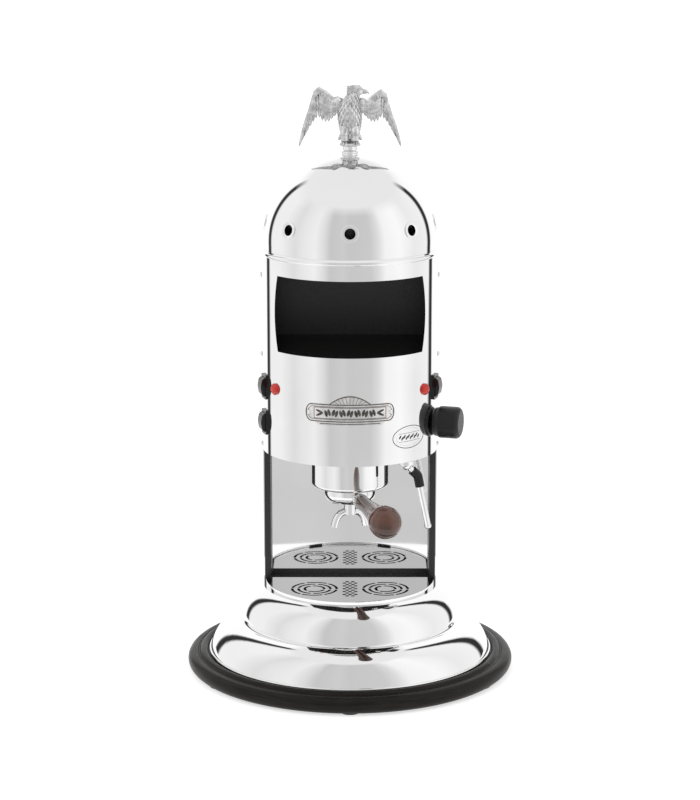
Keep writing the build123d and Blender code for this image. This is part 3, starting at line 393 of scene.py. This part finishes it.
def spine_point(rings, u, angle):
    """Point and outward normal on the trunk at a share of its height and an angle round it."""
    place = u * (len(rings) - 1)
    n = min(int(place), len(rings) - 2)
    share = place - n
    (c0, a0, b0), (c1, a1, b1) = rings[n], rings[n + 1]
    centre = mix_points(c0, c1, share)
    rx = a0 + (a1 - a0) * share
    ry = b0 + (b1 - b0) * share
    normal = Vector((math.cos(angle) / rx, math.sin(angle) / ry, 0.0)).normalized()
    return centre + Vector((math.cos(angle) * rx, math.sin(angle) * ry, 0.0)), normal


def add_eagle_body(bm):
    """Trunk and neck with overlapping rows of small feathers."""
    rings = eagle_spine()
    add_loft(bm, [(c, Vector((rx, 0, 0)), Vector((0, ry, 0))) for c, rx, ry in rings], around=24)
    rows = 15
    neck = 0.75
    for row in range(rows):
        u = 0.97 - 0.93 * row / (rows - 1)
        count = 16 if u < neck else 12
        for n in range(count):
            angle = 2 * math.pi * (n + 0.5 * (row % 2)) / count
            point, normal = spine_point(rings, u, angle)
            down, _ = spine_point(rings, max(u - 0.115, 0.0), angle)
            root = point - normal * 0.4
            tip = down + normal * 0.75
            width = 4.4 if u < neck else 3.2
            add_feather(bm, root, tip, width, normal, thick=0.7, curl=0.3, steps=6)


def add_head_loft(bm, centre, sections, depth, height, lean, around):
    """Skin along X through sections given as (x, size, height above the head's centre)."""
    add_loft(bm, [(centre + Vector((x, 0, dz)), Vector((0, size * depth, 0)),
                   Vector((size * lean, 0, size * height))) for x, size, dz in sections], around)


def add_eagle_head(bm):
    """Head turned to the right as seen from the front, with brow, eyes and hooked beak."""
    centre = Vector((7.6, -2.6, 61.4))
    skull = [(-5.2, 2.0, 0.8), (-3.4, 4.9, 0.3), (0.0, 6.0, 0.0), (3.0, 5.4, -0.2), (5.6, 3.9, -0.9),
             (7.2, 2.7, -1.3)]
    beak = [(6.6, 2.6, -1.2), (8.6, 2.4, -1.1), (10.6, 1.9, -1.4), (12.2, 1.4, -2.4), (13.1, 0.9, -4.0),
            (13.2, 0.4, -5.6)]
    jaw = [(6.2, 1.5, -3.2), (8.8, 1.3, -3.5), (10.6, 0.5, -3.9)]
    add_head_loft(bm, centre, skull, depth=0.86, height=1.0, lean=0.0, around=20)
    add_head_loft(bm, centre, beak, depth=0.75, height=1.0, lean=0.3, around=12)
    add_head_loft(bm, centre, jaw, depth=0.8, height=0.6, lean=0.0, around=10)
    for side in (-1, 1):
        eye = centre + Vector((4.0, side * 3.7, 0.6))
        bmesh.ops.create_icosphere(bm, subdivisions=2, radius=1.05, matrix=Matrix.Translation(eye))
        brow = [centre + Vector((1.0, side * 4.6, 2.4)), centre + Vector((3.8, side * 4.5, 2.3)),
                centre + Vector((6.4, side * 3.0, 0.9))]
        add_tube(bm, brow, (0.5, 0.9, 0.35), around=8)
    for row in range(6):
        for n in range(11):
            angle = 2 * math.pi * (n + 0.5 * (row % 2)) / 11
            out = Vector((0, math.cos(angle), math.sin(angle)))
            x = 3.0 - 2.2 * row
            radius = 5.7 - 0.25 * abs(row - 1)
            root = centre + Vector((x, 0, 0)) + Vector((0, out.y * radius * 0.86, out.z * radius))
            tip = root + Vector((-3.6, 0, -0.6)) + out * 0.35
            if root.z < centre.z - 4.6 and x > -2:
                continue
            add_feather(bm, root - out * 0.5, tip, 2.4, out, thick=0.6, steps=5)


def add_eagle_wing(bm, side, lift):
    """Spread, drooping wing: arm, long outer feathers, inner feathers and three rows of coverts."""
    def at(x, y, z):
        return Vector((side * x, y, z))

    shoulder = at(9.5, 1.5, 47.5)
    elbow = at(20.0, 4.0, 50.0 + lift)
    wrist = at(34.5, 2.5, 62.0 + lift)
    knuckle = at(39.5, 2.5, 53.0 + lift)
    outer = at(46.0, 3.0, 34.0 + lift)
    arm = [shoulder, at(14, 2.5, 50.0 + lift * 0.5), elbow, at(27, 3.2, 57.0 + lift), wrist,
           at(37.6, 2.5, 59.0 + lift), knuckle, outer, at(51.5, 3.6, 16.0)]
    add_tube(bm, arm, (5.2, 4.6, 3.9, 3.4, 3.3, 3.0, 2.5, 1.7, 0.8), around=12)
    quill_roots = [mix_points(knuckle, outer, 0.9 - 0.15 * n) for n in range(7)]
    quill_tips = [at(56.4, 4.0, -1.6), at(53.6, 4.4, 4.2), at(50.2, 4.8, 10.0), at(46.8, 5.0, 16.0),
                  at(43.4, 5.2, 21.5), at(40.2, 5.4, 26.0), at(37.0, 5.4, 29.5)]
    inner_roots = [mix_points(wrist, shoulder, 0.06 + 0.14 * n) + Vector((0, 1.5, -3.0)) for n in range(7)]
    inner_tips = [at(33.5, 5.4, 30.5), at(30.4, 5.2, 27.0), at(27.0, 5.0, 25.6), at(23.6, 4.8, 26.2),
                  at(20.4, 4.4, 28.8), at(17.4, 3.8, 32.0), at(14.8, 3.0, 35.5)]
    roots = quill_roots + inner_roots
    tips = quill_tips + inner_tips
    for face_y, offset in ((-1.0, 0.0), (1.0, 1.4)):
        face = Vector((0, face_y, 0))
        for n, (root, tip) in enumerate(zip(roots, tips)):
            shift = Vector((0, offset + 0.12 * (n % 2), 0))
            width = 4.6 if n < len(quill_roots) else 5.4
            add_feather(bm, root + shift, tip + shift, width, face, thick=1.1, curl=0.5, steps=16)
        coverts = ((0.66, 4.6, 1.2, 0.5), (0.46, 4.0, 2.2, 0.5), (0.28, 3.6, 3.2, 0.4))
        for reach, width, layer, curl in coverts:
            for n in range(2 * len(roots) - 1):
                near = n // 2
                far = (n + 1) // 2
                share = 0.5 if n % 2 else 0.0
                root = mix_points(roots[near], roots[far], share)
                tip = mix_points(tips[near], tips[far], share)
                shift = Vector((0, offset + face_y * layer * 0.62, 0))
                add_feather(bm, root + shift, mix_points(root, tip, reach) + shift, width, face, thick=0.9,
                            curl=curl, steps=9)
    along_arm = [shoulder, elbow, wrist, knuckle]
    for start, end, count in ((0, 1, 4), (1, 2, 5), (2, 3, 3)):
        for n in range(count):
            point = mix_points(along_arm[start], along_arm[end], (n + 0.5) / count)
            for face_y in (-1.0, 1.0):
                root = point + Vector((0, face_y * 2.6, 1.6))
                tip = root + Vector((side * 1.2, face_y * 0.7, -6.0))
                add_feather(bm, root, tip, 4.2, Vector((0, face_y, 0)), thick=0.9, curl=0.3, steps=7)


def add_eagle_legs(bm):
    """Feathered thighs, toes gripping a small mound, and the tail fan behind."""
    for side in (-1, 1):
        thigh = [(5.2, -4.6, 24.0, 4.2), (5.8, -5.8, 19.0, 5.4), (6.0, -5.8, 13.0, 4.6),
                 (5.8, -5.2, 8.0, 2.9), (5.8, -5.0, 4.6, 2.2)]
        add_loft(bm, [(Vector((side * x, y, z)), Vector((r, 0, 0)), Vector((0, r, 0)))
                      for x, y, z, r in thigh], around=14)
        for row in range(5):
            for n in range(9):
                angle = math.pi * (1.0 + (n + 0.5 * (row % 2)) / 9)
                out = Vector((math.cos(angle), math.sin(angle), 0))
                girth = 4.4 if row in (1, 2) else 3.9
                root = Vector((side * 5.8, -5.6, 23.0 - 3.2 * row)) + out * girth
                add_feather(bm, root, root + Vector((0, -0.3, -4.6)), 2.8, out, thick=0.7, steps=5)
        for spread in (-34, 0, 34):
            turn = math.radians(spread)
            heading = Vector((side * 0.25 + math.sin(turn), -math.cos(turn), 0))
            start = Vector((side * 5.8, -5.0, 4.6))
            steps = ((0.0, 0.0), (2.4, 0.6), (4.6, -0.4), (6.0, -2.2), (6.2, -3.6))
            toe = [start + heading * reach + Vector((0, 0, rise)) for reach, rise in steps]
            add_tube(bm, toe, (1.4, 1.35, 1.1, 0.7, 0.2), around=8)
    for n in range(7):
        spread = (n - 3) / 3
        root = Vector((spread * 4.0, 5.0, 18.0))
        tip = Vector((spread * 13.2, 6.4 - 0.6 * abs(spread), 3.0 + 2.6 * abs(spread)))
        for face_y in (-1.0, 1.0):
            add_feather(bm, root, tip, 5.4, Vector((0, face_y, 0)), thick=1.0, curl=0.4, steps=12)
    mound = [(0.0, 10.4), (1.2, 12.4), (3.0, 11.6), (4.4, 8.4), (5.2, 4.0)]
    add_loft(bm, [(Vector((0, 0, z)), Vector((r, 0, 0)), Vector((0, r, 0))) for z, r in mound], around=24)


def add_eagle():
    """Cast eagle on the stem, in place of its plain solid."""
    (_, _, low), (_, _, high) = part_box("eagle_finial")
    drawn_height = 67.5
    scale = (high - low) / drawn_height
    bm = bmesh.new()
    add_eagle_body(bm)
    add_eagle_head(bm)
    add_eagle_wing(bm, -1, 0.0)
    add_eagle_wing(bm, 1, -3.0)
    add_eagle_legs(bm)
    place = Matrix.Translation((0, 0, low)) @ Matrix.Scale(scale, 4)
    bmesh.ops.transform(bm, matrix=place, verts=bm.verts)
    eagle = new_object("cast_eagle", bm, "dome", "cast_chrome")
    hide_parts("eagle_finial")


# ---------------------------------------------------------------- badge
def on_drum(x, z, height, radius):
    """Point on the casing, x measured round the drum from the front centre."""
    angle = x / radius
    return Vector(((radius + height) * math.sin(angle), -(radius + height) * math.cos(angle), z))


def add_wrapped_tube(bm, outline, radius, bar, height, closed=True):
    """Raised line along an outline that lies on the drum."""
    points = [on_drum(x, z, height, radius) for x, z in outline]
    if closed:
        points.append(points[0].copy())
        points.append(points[1].copy())
    add_tube(bm, points, [bar] * len(points), around=8)


def badge_outline(half, low, high):
    """Bar with rounded ends, as (x from the middle, height)."""
    points = []
    middle = (low + high) / 2
    corner = 6.0 * MM
    straight = half - corner
    runs = 24
    bends = 8
    for side, edge in ((1, high), (-1, low)):
        points += [(side * (-straight + 2 * straight * n / runs), edge) for n in range(runs + 1)]
        for n in range(1, bends):
            angle = side * math.pi / 2 - math.pi * n / bends
            points.append((side * straight + corner * math.cos(angle),
                           middle + (high - low) / 2 * math.sin(angle)))
    return points


def straight_run(start, end, steps):
    """Points from start up to, but not with, end."""
    return [(start[0] + (end[0] - start[0]) * n / steps, start[1] + (end[1] - start[1]) * n / steps)
            for n in range(steps)]


def add_leaf(bm, base, tip, width, radius, height):
    """Small leaf lying on the badge."""
    normal = on_drum(*base, 1.0, radius) - on_drum(*base, 0.0, radius)
    add_feather(bm, on_drum(*base, height, radius), on_drum(*tip, height, radius), width, normal,
                thick=0.35 * MM, steps=8)


def add_bean(bm, x, z, turn, radius, height):
    """Half-sunk coffee bean, its two halves side by side."""
    half_size = (1.75, 1.1, 4.0)
    for side in (-1, 1):
        shift = Matrix.Translation(on_drum(x, z, height, radius))
        tilt = Matrix.Rotation(x / radius, 4, "Z") @ Matrix.Rotation(turn, 4, "Y")
        half = Matrix.Translation((side * half_size[0] * MM, 0, 0)) @ Matrix.Diagonal((*half_size, 1.0))
        bmesh.ops.create_icosphere(bm, subdivisions=3, radius=MM, matrix=shift @ tilt @ half)


def add_badge():
    """Border lines, a row of beans between two pairs of leaves, and rays in the arch."""
    (_, front, low), (right, _, _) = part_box("badge_plate")
    radius = -front
    half = radius * math.asin(right / radius)
    foot_drop = 3.6 * MM
    bar_height = 20 * MM
    bar_low = low + foot_drop
    bar_high = bar_low + bar_height
    middle = (bar_low + bar_high) / 2
    bm = bmesh.new()
    for inset, bar in ((0.7, 0.55), (3.0, 0.30)):
        outline = badge_outline(half - inset * MM, bar_low + inset * MM, bar_high - inset * MM)
        add_wrapped_tube(bm, outline, radius, bar * MM, 0.0)
    reach = 40 * MM
    tall = 6 * MM
    field = [(-reach, middle - tall), (-reach, middle + tall), (reach, middle + tall), (reach, middle - tall)]
    border = []
    for k in range(4):
        border += straight_run(field[k], field[(k + 1) % 4], 12)
    add_wrapped_tube(bm, border, radius, 0.35 * MM, 0.0)
    arch = 22.0 * MM
    rise = 8.6 * MM
    steps = 24
    curve = [(-arch + 2 * arch * n / steps, bar_high + rise * (1 - (2 * n / steps - 1) ** 2))
             for n in range(steps + 1)]
    add_wrapped_tube(bm, curve, radius, 0.55 * MM, 0.0, closed=False)
    ray_pitch = 4.4 * MM
    ray_rise = 8.0 * MM
    for n in range(-4, 5):
        x = n * ray_pitch
        top = bar_high + ray_rise * (1 - (x / arch) ** 2)
        add_wrapped_tube(bm, [(x * 0.7, bar_high), (x, top)], radius, 0.22 * MM, 0.0, closed=False)
    foot = 33 * MM
    strip = [(-foot + 2 * foot * n / steps, low + foot_drop / 2) for n in range(steps + 1)]
    add_wrapped_tube(bm, strip, radius, 0.45 * MM, 0.0, closed=False)
    bean_pitch = 8.2 * MM
    for n in range(-3, 4):
        add_bean(bm, n * bean_pitch, middle, 0.30 * (-1) ** n, radius, -0.2 * MM)
    for side in (-1, 1):
        for up in (-1, 1):
            tip = (side * 38 * MM, middle + up * 3.4 * MM)
            add_leaf(bm, (side * 30 * MM, middle), tip, 2.6 * MM, radius, 0.1 * MM)
    relief = new_object("badge_relief", bm, "machine", "badge_silver")
    relief.data.materials.clear()
    relief.data.materials.append(RELIEF)


def add_side_oval():
    """Small printed oval with a row of beans between two lines, low on the front shell's right."""
    (_, front, low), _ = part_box("front_shell")
    radius = -front
    degrees_round = 41.9
    above_edge = 28.2 * MM
    x0 = radius * math.radians(degrees_round)
    z0 = low + above_edge
    half_width = 23.0 * MM
    half_height = 12.4 * MM
    turns = [t * math.pi / 30 for t in range(60)]
    bm = bmesh.new()
    for share, bar in ((1.0, 0.45), (0.80, 0.16)):
        ring = [(x0 + half_width * share * math.cos(turn), z0 + half_height * share * math.sin(turn))
                for turn in turns]
        add_wrapped_tube(bm, ring, radius, bar * MM, -0.15 * MM)
    line_gap = 4.6 * MM
    bean_pitch = 6.0 * MM
    for up in (-1, 1):
        line = [(x0 + n * MM, z0 + up * line_gap) for n in range(-15, 16, 3)]
        add_wrapped_tube(bm, line, radius, 0.25 * MM, -0.1 * MM, closed=False)
    for n in range(-2, 3):
        add_bean(bm, x0 + n * bean_pitch, z0, 0.6, radius, -0.9 * MM)
    new_object("side_oval", bm, "machine", "black_gloss")


add_camera()
add_world()
add_floor()
add_reflector()
add_key_light()
dress_nodes()
add_eagle()
add_badge()
add_side_oval()
bpy.context.scene.view_settings.view_transform = "Standard"
